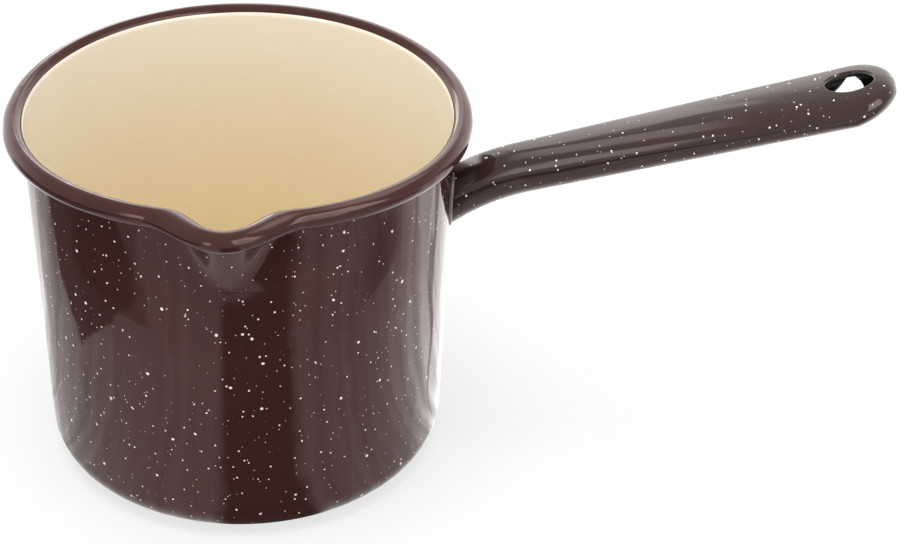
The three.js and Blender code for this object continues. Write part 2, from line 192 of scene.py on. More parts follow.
class EnamelColours(bpy.types.PropertyGroup):
    """Colours of the coats, the steel and the stage."""

    brown: colour("Brown", "Cover coat of the body", "#3D221D")
    brown_dark: colour("Dark brown", "Thicker parts of the body's cover coat", "#331B17")
    handle_brown: colour("Handle brown", "Cover coat of the handle", "#382725")
    handle_brown_dark: colour("Dark handle brown", "Thicker parts of the handle's cover coat", "#2F201E")
    # Weld colours: a pale brown painted on as a highlight along the ridge of the weld at the root
    weld_highlight: colour("Weld brown", "Cover coat pulled thin over the weld at the root", "#8E7B77")
    weld_highlight_dark: colour("Dark weld brown", "Thicker parts of the coat over that weld", "#6A5753")
    speckle: colour("Speckle", "White grains fired into the cover coat", "#F6ECE6")
    cream: colour("Cream", "Lining near the rim", "#F8F0E0")
    # Deep cream is painted shade: the lining's colour low in the pan, darker and warmer as in shadow
    cream_painted_shade: colour("Deep cream", "Lining low down, where it ran thicker", "#E6D6B4")
    gloss: colour("Gloss tint", "Warm tint of the body's gloss seen head on", "#FFD8D2")
    handle_gloss: colour("Handle gloss tint", "Tint of the handle's gloss seen head on", "#FFEFEC")
    ground: colour("Ground coat", "Inside the handle", "#17181A")
    steel: colour("Steel", "Cold-rolled sheet", "#85878A")
    floor: colour("Floor", "Plain pale floor", "#F7F7F7")


# Shape of the body

def ease(part):
    """Half a cosine wave: 0 at part 0, 1 at part 1, level at both ends."""
    return 0.5 - 0.5 * np.cos(np.pi * np.clip(part, 0.0, 1.0))


def coat_step(pan):
    """A coat and the hairline under it."""
    return pan.coat + pan.bond_gap


def coat_face(pan):
    """Depth of the outside face, measured from the cream face through lining, steel and coat."""
    return 2 * coat_step(pan) + pan.sheet


def bead_height(pan):
    """Middle of the roll."""
    return pan.height - pan.bead_radius


def nip_height(pan):
    """Underside of the roll."""
    return bead_height(pan) - pan.bead_radius


def corner_centre(pan):
    """Radius at which the base corner's arc is centred, from the mouth, the draft and the corner."""
    lean = (bead_height(pan) - pan.base_corner) * math.tan(pan.draft)
    return pan.mouth_radius - (pan.base_corner - coat_face(pan)) / math.cos(pan.draft) - lean


def wall_radius(pan, depth, height):
    """Radius of a layer of the wall at a height: a cone that starts at the base corner."""
    corner = pan.base_corner - coat_face(pan) + depth
    lean = (height - pan.base_corner) * math.tan(pan.draft)
    return corner_centre(pan) + corner / math.cos(pan.draft) + lean


def rise_share(pan, height, depth_below_rim):
    """0 at a depth below the rim, rising evenly to 1 at the underside of the roll."""
    start = pan.height - depth_below_rim
    return np.clip((height - start) / (nip_height(pan) - start), 0.0, 1.0)


def drawn_share(pan, height):
    """Share of the drawing-in that the wall has taken at a height."""
    return ease(rise_share(pan, height, pan.draw_in_depth))


def throat_swell(pan, height):
    """Swelling in the middle of the lip, where the throat runs straight from its point to the roll."""
    rise = rise_share(pan, height, pan.spout_depth)
    at_point = drawn_share(pan, pan.height - pan.spout_depth)
    chord = at_point + (1 - at_point) * rise
    swell = pan.spout_reach * rise + pan.draw_in * (drawn_share(pan, height) - chord)
    return np.where(rise > 0, swell, 0.0)


def mouth_shift(pan, from_lip, height, outside):
    """Outward shift of the wall: a cone-like swelling at the lip less the drawing-in beside it.

    The swelling grows from the throat's point and falls off sideways as half a cosine. It gets longer and
    wider towards the outside of the roll, so the roll keeps its width on the lip's slanting sides.
    The drawing-in eases in over the height and falls off sideways over its spread.
    """
    lip_rise = rise_share(pan, height, pan.spout_depth)
    lip_width = pan.spout_half_width * (pan.spout_point + (1 - pan.spout_point) * lip_rise)
    lip_width = lip_width + pan.roll_spread * outside * lip_rise
    swell = throat_swell(pan, height) + pan.roll_growth * outside * lip_rise
    lip = swell * ease(1 - np.abs(from_lip) * pan.mouth_radius / lip_width)
    drawn_in = pan.draw_in * drawn_share(pan, height) * ease(1 - np.abs(from_lip) / pan.draw_in_spread)
    return lip - drawn_in


def corner_profile(pan, depth):
    """Arc of the base corner of one layer, from the flat to the wall."""
    radius = pan.base_corner - coat_face(pan) + depth
    turn = np.linspace(-math.pi / 2, -pan.draft, CORNER_ROWS)
    return np.stack(
        [corner_centre(pan) + radius * np.cos(turn), pan.base_corner + radius * np.sin(turn)], axis=-1
    )


def wall_profile(pan, depth, top):
    """Straight leaning wall of one layer, with rows close together where the mouth is shaped."""
    bottom = corner_profile(pan, depth)[-1, 1]
    shaped = pan.height - pan.draw_in_depth
    cone = np.linspace(bottom, shaped, CONE_ROWS + 1)[1:-1]
    mouth = np.linspace(shaped, top, LIP_ROWS)
    height = np.concatenate([cone, mouth])
    return np.stack([wall_radius(pan, depth, height), height], axis=-1)


def curl_end(pan):
    """Angle at which the roll stops, a gap short of the wall."""
    return -math.acos((coat_face(pan) + pan.curl_gap) / pan.bead_radius - 1)


def curl_profile(pan, radius, turn):
    """Arc of the rolled rim at a radius from the middle of the roll."""
    middle = pan.mouth_radius + pan.bead_radius / math.cos(pan.draft)
    return np.stack([middle + radius * np.cos(turn), bead_height(pan) + radius * np.sin(turn)], axis=-1)


def axis_point(pan, depth):
    """Middle of one layer of the base."""
    return np.array([[0.0, coat_face(pan) - depth]])


def grid_faces(rows, columns, wrap_rows=False, wrap_columns=False):
    """Quads of a grid of points numbered row by row, closed on itself where it wraps."""
    i = np.arange(rows if wrap_rows else rows - 1)[:, None]
    j = np.arange(columns if wrap_columns else columns - 1)[None, :]
    next_i = (i + 1) % rows
    next_j = (j + 1) % columns
    corners = [i * columns + j, i * columns + next_j, next_i * columns + next_j, next_i * columns + j]
    return np.stack(np.broadcast_arrays(*corners), axis=-1).reshape(-1, 4)


def make_mesh(name, points, faces):
    """Mesh from points and quads, with coincident points joined, so that poles and seams close."""
    mesh = bpy.data.meshes.new(name)
    mesh.from_pydata(points.reshape(-1, 3), [], faces)
    work = bmesh.new()
    work.from_mesh(mesh)
    bmesh.ops.remove_doubles(work, verts=work.verts, dist=WELD_DISTANCE)
    work.to_mesh(mesh)
    work.free()
    mesh.shade_smooth()
    mesh.set_sharp_from_angle(angle=SHARP_ANGLE)
    return mesh


def turned_mesh(name, pan, profile, closed, columns=COLUMNS):
    """Carries (radius, height) rows around Z and adds the mouth's shift to every radius off the axis."""
    from_lip = np.linspace(-np.pi, np.pi, columns, endpoint=False)
    radius = profile[:, :1]
    height = profile[:, 1:] + np.zeros_like(from_lip)
    outside = np.clip((radius - pan.mouth_radius) / (2 * pan.bead_radius), 0.0, 1.0)
    shift = mouth_shift(pan, from_lip, height, outside)
    reach = np.where(radius > 0, radius + shift, 0.0)
    bearing = from_lip - np.pi / 2
    points = np.stack([reach * np.cos(bearing), reach * np.sin(bearing), height], axis=-1)
    return make_mesh(name, points, grid_faces(len(profile), columns, closed, wrap_columns=True))


def steel_body_mesh(pan):
    """One drawn sheet: base, wall, lip and the rim rolled outwards."""
    outer = coat_step(pan) + pan.sheet
    inner = coat_step(pan)
    nip = nip_height(pan)
    turn = np.linspace(math.pi - pan.draft, curl_end(pan), ROLL_ROWS)
    roll_outside = pan.bead_radius - coat_step(pan)
    profile = np.concatenate([
        axis_point(pan, outer),
        corner_profile(pan, outer),
        wall_profile(pan, outer, nip),
        curl_profile(pan, roll_outside - pan.sheet, turn),
        curl_profile(pan, roll_outside, turn)[::-1],
        wall_profile(pan, inner, nip)[::-1],
        corner_profile(pan, inner)[::-1],
        axis_point(pan, inner),
    ])
    return turned_mesh("drawn_steel_body", pan, profile, closed=False, columns=STEEL_COLUMNS)


def lining_mesh(pan):
    """Cream coat from the middle of the base up the wall and onto the inner edge of the roll."""
    nip = nip_height(pan)
    joint = pan.coat_joint / 2 / pan.bead_radius
    turn = np.linspace(math.pi - pan.draft, pan.lip_angle + joint, EDGE_ROWS)
    profile = np.concatenate([
        axis_point(pan, pan.coat),
        corner_profile(pan, pan.coat),
        wall_profile(pan, pan.coat, nip),
        curl_profile(pan, pan.bead_radius - pan.coat, turn),
        curl_profile(pan, pan.bead_radius, turn)[::-1],
        wall_profile(pan, 0.0, nip)[::-1],
        corner_profile(pan, 0.0)[::-1],
        axis_point(pan, 0.0),
    ])
    return turned_mesh("cream_lining", pan, profile, closed=False)


def wall_coat_mesh(pan):
    """Speckled coat from the edge of the base to the underside of the roll."""
    top = nip_height(pan) - pan.coat_joint
    face = coat_face(pan)
    back = face - pan.coat
    profile = np.concatenate([
        corner_profile(pan, face),
        wall_profile(pan, face, top),
        wall_profile(pan, back, top)[::-1],
        corner_profile(pan, back)[::-1],
    ])
    return turned_mesh("speckled_wall_coat", pan, profile, closed=True)


def base_coat_mesh(pan):
    """Plain coat on the flat underside, a disc of the coat's thickness."""
    edge = corner_centre(pan) - pan.coat_joint
    out = np.linspace(0.0, edge, EDGE_ROWS)
    below = np.stack([out, np.zeros(EDGE_ROWS)], axis=-1)
    above = np.stack([out[::-1], np.full(EDGE_ROWS, pan.coat)], axis=-1)
    return turned_mesh("plain_base_coat", pan, np.concatenate([below, above]), closed=False)


def rim_coat_mesh(pan):
    """Plain coat on the roll, from its inner edge over the top to the end of the sheet."""
    joint = pan.coat_joint / 2 / pan.bead_radius
    turn = np.linspace(pan.lip_angle - joint, curl_end(pan), ROLL_ROWS)
    profile = np.concatenate([
        curl_profile(pan, pan.bead_radius - pan.coat, turn),
        curl_profile(pan, pan.bead_radius, turn)[::-1],
    ])
    return turned_mesh("plain_rim_coat", pan, profile, closed=True)


# Shape of the handle

def attach_height(pan, handle):
    """Height of the centre line at the wall."""
    return pan.height - handle.attach_drop


def neck_length(handle):
    """Length of the neck's arc."""
    return handle.neck_radius * handle.neck_turn


def handle_length(handle):
    """Length of the centre line from the wall to the tip."""
    return neck_length(handle) + handle.grip_length


def nose_length(handle):
    """Length of the half-round nose."""
    return handle.end_width / 2


def handle_place(pan, handle, distance):
    """Point (x, z) and slope of the centre line: an arc for the neck, then a straight grip."""
    root_slope = handle.rise + handle.neck_turn
    bent = np.clip(distance, 0.0, neck_length(handle))
    slope = root_slope - bent / handle.neck_radius
    straight = distance - bent
    height = attach_height(pan, handle)
    x = wall_radius(pan, coat_face(pan), height) + straight * np.cos(slope)
    x = x + handle.neck_radius * (math.sin(root_slope) - np.sin(slope))
    z = height + straight * np.sin(slope)
    z = z + handle.neck_radius * (np.cos(slope) - math.cos(root_slope))
    return x, z, slope


def handle_points(pan, handle, distance, side, lift):
    """Points of the handle's space: distance along it, sideways, and height off the centre line."""
    x, z, slope = handle_place(pan, handle, distance)
    parts = np.broadcast_arrays(x - lift * np.sin(slope), side, z + lift * np.cos(slope))
    return np.stack(parts, axis=-1)


def handle_section(handle, distance, depth):
    """Width, top, bottom and edge radius of the section at a distance, set in by a depth.

    Width, thickness and edge taper evenly from the neck to the nose. Along the nose the width follows
    a half circle, the top rounds off late and the underside rises early.
    """
    nose_start = handle_length(handle) - nose_length(handle)
    taper = np.clip((distance - neck_length(handle)) / (nose_start - neck_length(handle)), 0.0, 1.0)
    nose = np.clip((distance - nose_start) / (nose_length(handle) - depth), 0.0, 1.0)
    width = handle.root_width + (handle.end_width - handle.root_width) * taper - 2 * depth
    thickness = handle.root_thickness + (handle.end_thickness - handle.root_thickness) * taper - 2 * depth
    edge = handle.root_edge + (handle.end_edge - handle.root_edge) * taper - depth
    width = width * np.sqrt(1 - nose ** 2)
    top = thickness / 2 * np.cbrt(1 - nose ** 3)
    bottom = -thickness / 2 * (1 - nose) ** handle.nose_slope
    edge = np.minimum(edge, EDGE_LIMIT * np.minimum(width, top - bottom))
    return width, top, bottom, edge


def half_outline(section, along):
    """Side and lift on half a rounded rectangle, by the length along it from the middle of the top.

    It runs over the flat top, a quarter round, the flat side, a quarter round and the flat bottom.
    """
    width, top, bottom, edge = section
    flat = width / 2 - edge
    bend = np.pi / 2 * edge
    upright = top - bottom - 2 * edge
    safe_edge = np.maximum(edge, TINY)
    first = np.clip((along - flat) / safe_edge, 0.0, np.pi / 2)
    down = np.clip(along - flat - bend, 0.0, upright)
    second = np.clip((along - flat - bend - upright) / safe_edge, 0.0, np.pi / 2)
    back = np.maximum(along - flat - 2 * bend - upright, 0.0)
    side = np.minimum(along, flat) + edge * np.sin(first) - edge * (1 - np.cos(second)) - back
    lift = top - edge * (1 - np.cos(first)) - down - edge * np.sin(second)
    return side, lift


def outline_length(section):
    """Length of half the outline of a section."""
    width, top, bottom, edge = section
    return width - 2 * edge + np.pi * edge + top - bottom - 2 * edge


def hole_half_width(handle, distance, growth):
    """Half width of the oval hanging hole at a distance, grown all round."""
    off = (distance - handle_length(handle) + handle.hole_setback) / (handle.hole_length / 2 + growth)
    return (handle.hole_width / 2 + growth) * np.sqrt(np.maximum(1 - off ** 2, 0.0))


def notch_half_width(handle, distance):
    """Half width of the opening underneath: straight flanks, round corners and a bowed front."""
    front = handle_length(handle) - handle.notch_setback
    point = front - handle.notch_length
    radius = handle.notch_corner
    inset = radius / math.tan((math.pi / 2 - handle.notch_flank) / 2)
    corner_side = handle.notch_length * math.tan(handle.notch_flank) - inset
    corner_start = front - radius - radius * math.sin(handle.notch_flank)
    flank = np.maximum(distance - point, 0.0) * math.tan(handle.notch_flank)
    off = np.clip(distance - front + radius, -radius, radius)
    corner = corner_side + np.sqrt(np.maximum(radius ** 2 - off ** 2, 0.0))
    bow = corner_side * np.sqrt(np.clip(1 - (distance - front) / handle.notch_bulge, 0.0, 1.0))
    return np.where(distance < corner_start, flank, np.where(distance < front, corner, bow))


def notch_edge(handle, section, distance, shift):
    """Length along half the outline at which the opening underneath, shifted sideways, begins."""
    width, top, bottom, edge = section
    flat = width / 2 - edge
    half = notch_half_width(handle, distance)
    half = np.where(half > 0, np.maximum(half + shift, 0.0), 0.0)
    safe_edge = np.maximum(edge, TINY)
    turned = np.arccos(np.clip((half - flat) / safe_edge, 0.0, 1.0))
    highest = np.arcsin(np.clip((bottom + edge - handle.notch_top) / safe_edge, 0.0, 1.0))
    lower_corner = flat + np.pi / 2 * edge + top - bottom - 2 * edge
    on_corner = lower_corner + edge * np.maximum(turned, highest)
    return np.where(half <= flat, outline_length(section) - half, on_corner)


def handle_distances(handle, depth):
    """Distances of the rows from the end of the neck to the tip, close together at hole and notch."""
    tip = handle_length(handle) - depth
    end = handle_length(handle)
    hole = end - handle.hole_setback
    half = handle.hole_length / 2
    front = end - handle.notch_setback
    roll = handle.hole_roll
    turn = np.linspace(0.0, np.pi, HOLE_ROWS)
    bow = np.linspace(0.0, 1.0, EDGE_ROWS)
    nose = np.sin(np.linspace(0.0, np.pi / 2, NOSE_ROWS))
    last = hole + half + roll
    return np.unique(np.concatenate([
        np.linspace(neck_length(handle), front - handle.notch_length, GRIP_ROWS),
        np.linspace(front - handle.notch_length, hole - half - roll, GRIP_ROWS // 2),
        np.linspace(hole - half - roll, hole - half, EDGE_ROWS),
        hole - half * np.cos(turn),
        front - CORNER_REACH * handle.notch_corner * (1 - np.sin(bow * np.pi / 2)),
        front + handle.notch_bulge * (1 - bow ** 2),
        np.linspace(hole + half, last, EDGE_ROWS),
        last + (tip - last) * nose,
    ]).round(ROW_DECIMALS))


def wall_distance(pan, handle, side, lift, clearance):
    """Distance along the handle at which a line of its surface meets the wall, by halving steps."""
    high = np.full(np.broadcast(side, lift).shape, 2 * handle.root_thickness)
    low = -high
    for _ in range(SOLVE_STEPS):
        middle = (low + high) / 2
        point = handle_points(pan, handle, middle, side, lift)
        outside = np.hypot(point[..., 0], point[..., 1]) > (
            wall_radius(pan, coat_face(pan), point[..., 2]) + clearance
        )
        low = np.where(outside, low, middle)
        high = np.where(outside, middle, high)
    return (low + high) / 2


def clustered(count):
    """Shares from 0 to 1, closer together towards both ends: a straight run less a sine wave."""
    even = np.linspace(0.0, 1.0, count)
    return even - CLUSTERING * np.sin(2 * np.pi * even)


def handle_skin(name, pan, handle, depth, count, rolled, slit):
    """One face of the wrapped sheet or its coat, as two halves that meet along the middle.

    Rows run from the wall to the tip. Across, each half follows the section's outline from the edge of
    the hanging hole, or the middle of the top, to the edge of the opening underneath, or the middle of
    the bottom. A rolled skin turns down into the hole by a quarter round, and a slit skin stops short
    of the seam.
    """
    spread = clustered(count)
    root = handle_section(handle, np.zeros(1), depth)
    root_along = spread * (outline_length(root)[0] - slit)
    root_side, root_lift = half_outline(root, root_along)
    start = wall_distance(pan, handle, root_side, root_lift, pan.bond_gap)
    neck = np.linspace(0.0, 1.0, NECK_ROWS)[:-1, None]
    neck_rows = start + (neck_length(handle) - start) * neck
    grip_rows = handle_distances(handle, depth)[:, None] + np.zeros(count)
    distance = np.concatenate([neck_rows, grip_rows])
    station = np.maximum(distance[:, :1], 0.0)
    station[:len(neck_rows)] = 0.0
    section = handle_section(handle, station, depth)
    first = hole_half_width(handle, station, 0.0 if rolled else handle.hole_roll)
    rows, columns = distance.shape
    faces = grid_faces(rows, columns)
    halves = []
    for hand in (1.0, -1.0):
        last = notch_edge(handle, section, station, hand * handle.notch_shift)
        last = np.minimum(last, outline_length(section) - slit)
        along = first + (np.maximum(last, first) - first) * spread
        side, lift = half_outline(section, along)
        lift = lift + top_crown(handle, section, side, lift)
        if rolled:
            lift = lift - hole_drop(handle, distance, side) * (lift > 0)
            lift = lift - seam_drop(handle, side, station) * (lift < 0)
        halves.append(handle_points(pan, handle, distance, hand * side, lift).reshape(-1, 3))
    return make_mesh(
        name, np.concatenate(halves), np.concatenate([faces[:, ::-1], faces + rows * columns])
    )


def top_crown(handle, section, side, lift):
    """Crown of the top: a parabola across the width, up in the middle and down by as much at the edges.

    It fades out evenly from the top to the middle of the thickness.
    """
    width, top, _, _ = section
    half = np.maximum(width / 2, TINY)
    fade = np.clip(lift / np.maximum(top, TINY), 0.0, 1.0)
    return handle.crown * half * (0.5 - np.clip(side / half, 0.0, 1.0) ** 2) * fade


def hole_drop(handle, distance, side):
    """How far the skin turns down beside the hole: a quarter round in the distance from its edge."""
    semi_long = handle.hole_length / 2
    semi_wide = handle.hole_width / 2
    off = distance - handle_length(handle) + handle.hole_setback
    level = np.maximum(np.hypot(off / semi_long, side / semi_wide), TINY)
    steepness = np.hypot(off / semi_long ** 2, side / semi_wide ** 2) / level
    away = np.maximum(level - 1, 0.0) / np.maximum(steepness, TINY)
    inside = np.maximum(handle.hole_roll - away, 0.0)
    return handle.hole_roll - np.sqrt(np.maximum(handle.hole_roll ** 2 - inside ** 2, 0.0))


def seam_drop(handle, side, station):
    """Low ridge that the seam weld lifts in the coat: half a cosine across, ending at the notch."""
    end = handle_length(handle) - handle.notch_setback - handle.notch_length
    fade = np.clip((end - station) / handle.root_width, 0.0, 1.0)
    return handle.seam_ridge * fade * ease(1 - side / (2 * handle.seam_width))


def handle_sheet_mesh(pan, handle):
    """Outer face of the wrapped sheet, under the coat, which stops short of the seam on both sides."""
    slit = handle.seam_width / 2 + handle.seam_gap
    return handle_skin(
        "handle_sheet", pan, handle, coat_step(pan), SHEET_HALF_SECTION, rolled=False, slit=slit
    )


def handle_coat_mesh(pan, handle):
    """Outer face of the coat, which turns down into the hanging hole and runs over the seam."""
    return handle_skin("speckled_handle_coat", pan, handle, 0.0, HALF_SECTION, rolled=True, slit=0.0)


def seam_weld_mesh(pan, handle):
    """Rounded bar along the bottom of the sheet, from the wall to the point of the notch."""
    depth = coat_step(pan)
    end = handle_length(handle) - handle.notch_setback - handle.notch_length + handle.seam_width
    along = np.linspace(pan.bond_gap + handle.seam_width, end, GRIP_ROWS)[:, None]
    turn = np.linspace(2 * np.pi, 0.0, BEAD_COLUMNS, endpoint=False)
    _, _, bottom, _ = handle_section(handle, along, depth)
    closing = np.ones((GRIP_ROWS, 1))
    closing[0] = 0.0
    closing[-1] = 0.0
    side = closing * handle.seam_width / 2 * np.sin(turn)
    lift = bottom + handle.sheet / 2 + closing * handle.sheet / 2 * np.cos(turn)
    points = handle_points(pan, handle, along, side, lift)
    faces = grid_faces(GRIP_ROWS, BEAD_COLUMNS, wrap_columns=True)
    return make_mesh("handle_seam_weld_bar", points, faces)


def root_weld_mesh(pan, handle):
    """Round bead carried along the closed line in which the handle meets the wall."""
    section = handle_section(handle, np.zeros(1), 0.0)
    half = outline_length(section)[0]
    along = np.linspace(0.0, 2 * half, ROOT_ROWS, endpoint=False)
    side, lift = half_outline(section, np.where(along < half, along, 2 * half - along))
    side = np.where(along < half, side, -side)
    distance = wall_distance(pan, handle, side, lift, 0.0)
    centre = handle_points(pan, handle, distance, side, lift)
    tangent = np.roll(centre, -1, axis=0) - np.roll(centre, 1, axis=0)
    tangent /= np.linalg.norm(tangent, axis=1, keepdims=True)
    outward = centre * np.array([1.0, 1.0, 0.0])
    outward -= tangent * np.sum(outward * tangent, axis=1, keepdims=True)
    outward /= np.linalg.norm(outward, axis=1, keepdims=True)
    across = np.cross(tangent, outward)
    turn = np.linspace(0.0, 2 * np.pi, BEAD_COLUMNS, endpoint=False)[:, None]
    ring = np.cos(turn) * outward[:, None] + np.sin(turn) * across[:, None]
    points = centre[:, None] + handle.root_bead * ring
    faces = grid_faces(ROOT_ROWS, BEAD_COLUMNS, wrap_rows=True, wrap_columns=True)
    return make_mesh("root_weld_bead", points, faces)


# Materials

def add_node(tree, kind, inputs=None, output=0, **settings):
    """Adds a node and gives back one of its outputs, or all of them where output is None.

    Inputs are values or other nodes' outputs, by the input's name or number. Settings are the node's own.
    """
    made = tree.nodes.new(kind)
    for key, value in settings.items():
        setattr(made, key, value)
    for key, value in (inputs or {}).items():
        if isinstance(value, bpy.types.NodeSocket):
            tree.links.new(value, made.inputs[key])
        else:
            made.inputs[key].default_value = value
    return made.outputs if output is None else made.outputs[output]


def new_material(name):
    """Empty node material, its node tree and its object coordinates."""
    material = bpy.data.materials.new(name)
    material.use_nodes = True
    material.node_tree.nodes.clear()
    place = add_node(material.node_tree, "ShaderNodeTexCoord", output="Object")
    return material, material.node_tree, place


def mottled(tree, place, grain, first, second):
    """Two colours drifting into each other over a grain given in metres."""
    drift = add_node(
        tree, "ShaderNodeTexNoise", {"Vector": place, "Scale": 1 / grain, "Detail": 3.0}, "Fac"
    )
    return add_node(tree, "ShaderNodeMix", {"Factor": drift, "A": first, "B": second}, 2, data_type="RGBA")


def ragged(tree, place, grain, shift, detail):
    """Coordinates pushed about by noise of a grain, by up to half of a shift along each axis."""
    push = add_node(
        tree, "ShaderNodeTexNoise", {"Vector": place, "Scale": 1 / grain, "Detail": detail}, "Color"
    )
    centred = add_node(tree, "ShaderNodeVectorMath", {0: push, 1: (0.5, 0.5, 0.5)}, operation="SUBTRACT")
    return add_node(
        tree, "ShaderNodeVectorMath", {0: centred, 1: shift, 2: place}, operation="MULTIPLY_ADD"
    )


# Vitreous enamel sags in the kiln, so its gloss ripples over about a fingertip's width, in long streaks
ENAMEL_IOR = 1.52
RIPPLE = 9 * MM
RIPPLE_HEIGHT = 0.3 * MM
SHALLOW_RIPPLE = RIPPLE_HEIGHT / 3
DOWN_THE_WALL = (1.0, 1.0, 0.22)
ALONG_THE_HANDLE = (0.12, 1.0, 1.0)
EVEN = (1.0, 1.0, 1.0)


def ripple(tree, place, stretch, height):
    """Normal of a gently waved surface, drawn out along the axes whose scale is small."""
    drawn = add_node(tree, "ShaderNodeMapping", {"Vector": place, "Scale": stretch})
    wave = add_node(
        tree, "ShaderNodeTexNoise", {"Vector": drawn, "Scale": 1 / RIPPLE, "Detail": 1.0}, "Fac"
    )
    return add_node(tree, "ShaderNodeBump", {"Height": wave, "Distance": height, "Strength": 1.0})


# Spacing in space, radius and soft edge of each size of white grain in the cover coat
GRAIN_SIZES = (
    (2.2 * MM, 0.21 * MM, 0.13 * MM),
    (2.8 * MM, 0.34 * MM, 0.16 * MM),
    (6.2 * MM, 0.54 * MM, 0.2 * MM),
)
# Uneven outlines of the grains: how fine the unevenness is, and how far it pushes along each axis
GRAIN_RAGGED = 0.9 * MM
GRAIN_SHIFT = (0.3 * MM, 0.3 * MM, 0.3 * MM)
# Spans over which the speckled coat, the plain coat and the weld's coat, painted pale as a highlight, drift
# in colour
SPECKLED_DRIFT = 25 * MM
PLAIN_DRIFT = 12 * MM
WELD_DRIFT = 3 * MM


def grains(tree, place, spacing, radius, softness):
    """Mask of round grains: 1 within a radius of scattered points, fading over a softness."""
    away = add_node(
        tree, "ShaderNodeTexVoronoi", {"Vector": place, "Scale": 1 / spacing, "Randomness": 1.0}, "Distance"
    )
    return add_node(
        tree, "ShaderNodeMapRange",
        {"Value": away, "From Min": radius / spacing, "From Max": (radius - softness) / spacing},
        interpolation_type="SMOOTHSTEP",
    )


def speckled_enamel(name, colours, browns, gloss, stretch):
    """Speckled vitreous enamel, sprayed with white grains and fired: wet gloss over dark brown."""
    material, tree, place = new_material(name)
    shifted = ragged(tree, place, GRAIN_RAGGED, GRAIN_SHIFT, detail=0.0)
    coat = mottled(tree, place, SPECKLED_DRIFT, *browns)
    for grain in GRAIN_SIZES:
        mask = grains(tree, shifted, *grain)
        mixed = {"Factor": mask, "A": coat, "B": colours.speckle}
        coat = add_node(tree, "ShaderNodeMix", mixed, 2, data_type="RGBA")
    shader = add_node(tree, "ShaderNodeBsdfPrincipled", {
        "Base Color": coat, "Roughness": 0.06, "IOR": ENAMEL_IOR, "Specular Tint": gloss,
        "Normal": ripple(tree, place, stretch, RIPPLE_HEIGHT),
    })
    add_node(tree, "ShaderNodeOutputMaterial", {"Surface": shader}, None)
    return material


def wall_enamel(colours):
    """Speckled enamel of the body, whose streaks run down the wall."""
    browns = (colours.brown, colours.brown_dark)
    return speckled_enamel("speckled_wall_enamel", colours, browns, colours.gloss, DOWN_THE_WALL)


def handle_enamel(colours):
    """Speckled enamel of the handle, a little greyer, whose streaks run along the grip."""
    browns = (colours.handle_brown, colours.handle_brown_dark)
    return speckled_enamel(
        "speckled_handle_enamel", colours, browns, colours.handle_gloss, ALONG_THE_HANDLE
    )


def plain_enamel(colours):
    """Plain vitreous enamel, dipped and fired: an even wet gloss, a little darker where it pooled."""
    material, tree, place = new_material("plain_vitreous_enamel")
    shader = add_node(tree, "ShaderNodeBsdfPrincipled", {
        "Base Color": mottled(tree, place, PLAIN_DRIFT, colours.brown, colours.brown_dark),
        "Roughness": 0.07, "IOR": ENAMEL_IOR, "Specular Tint": colours.gloss,
        "Normal": ripple(tree, place, EVEN, SHALLOW_RIPPLE),
    })
    add_node(tree, "ShaderNodeOutputMaterial", {"Surface": shader}, None)
    return material


def weld_painted_highlight_enamel(colours):
    """Cover coat fired over a weld, coloured paler than beside it: a painted highlight on the ridge."""
    material, tree, place = new_material("weld_painted_highlight_coat")
    shader = add_node(tree, "ShaderNodeBsdfPrincipled", {
        "Base Color": mottled(tree, place, WELD_DRIFT, colours.weld_highlight, colours.weld_highlight_dark),
        "Roughness": 0.15, "IOR": ENAMEL_IOR, "Normal": ripple(tree, place, EVEN, SHALLOW_RIPPLE),
    })
    add_node(tree, "ShaderNodeOutputMaterial", {"Surface": shader}, None)
    return material


# The lining is painted darker and warmer towards the bottom as shade deep in the pan, fully at and below a
# height, and that painted shade drifts a little over a span
FULL_SHADE_HEIGHT = 30 * MM
LINING_DRIFT = 30 * MM
LINING_UNEVEN = 0.15


def cream_enamel(colours):
    """Cream vitreous enamel, slushed inside and fired: soft gloss, with painted shade that makes it darker
    and warmer low down.
    """
    material, tree, place = new_material("cream_vitreous_enamel")
    height = add_node(tree, "ShaderNodeSeparateXYZ", {0: place}, "Z")
    depth = add_node(
        tree, "ShaderNodeMapRange", {"Value": height, "From Min": PAN_HEIGHT, "From Max": FULL_SHADE_HEIGHT}
    )
    drift = add_node(
        tree, "ShaderNodeTexNoise", {"Vector": place, "Scale": 1 / LINING_DRIFT, "Detail": 3.0}, "Fac"
    )
    uneven = add_node(
        tree, "ShaderNodeMapRange", {"Value": drift, "To Min": -LINING_UNEVEN, "To Max": LINING_UNEVEN}
    )
    # Painted shade: the lining's colour moves towards the deeper cream down the pan
    painted_shade = add_node(tree, "ShaderNodeMath", {0: depth, 1: uneven}, operation="ADD")
    mixed = {"Factor": painted_shade, "A": colours.cream, "B": colours.cream_painted_shade}
    shader = add_node(tree, "ShaderNodeBsdfPrincipled", {
        "Base Color": add_node(tree, "ShaderNodeMix", mixed, 2, data_type="RGBA"),
        "Roughness": 0.14, "IOR": ENAMEL_IOR, "Normal": ripple(tree, place, EVEN, SHALLOW_RIPPLE),
    })
    add_node(tree, "ShaderNodeOutputMaterial", {"Surface": shader}, None)
    return material


# Ground coat: grain of its dullness, span over which its colour drifts, its darkest share, its roughness
GROUND_GRAIN = 4 * MM
GROUND_DRIFT = 6 * MM
GROUND_DARKEST = 0.6
GROUND_ROUGHNESS = {"To Min": 0.25, "To Max": 0.45}


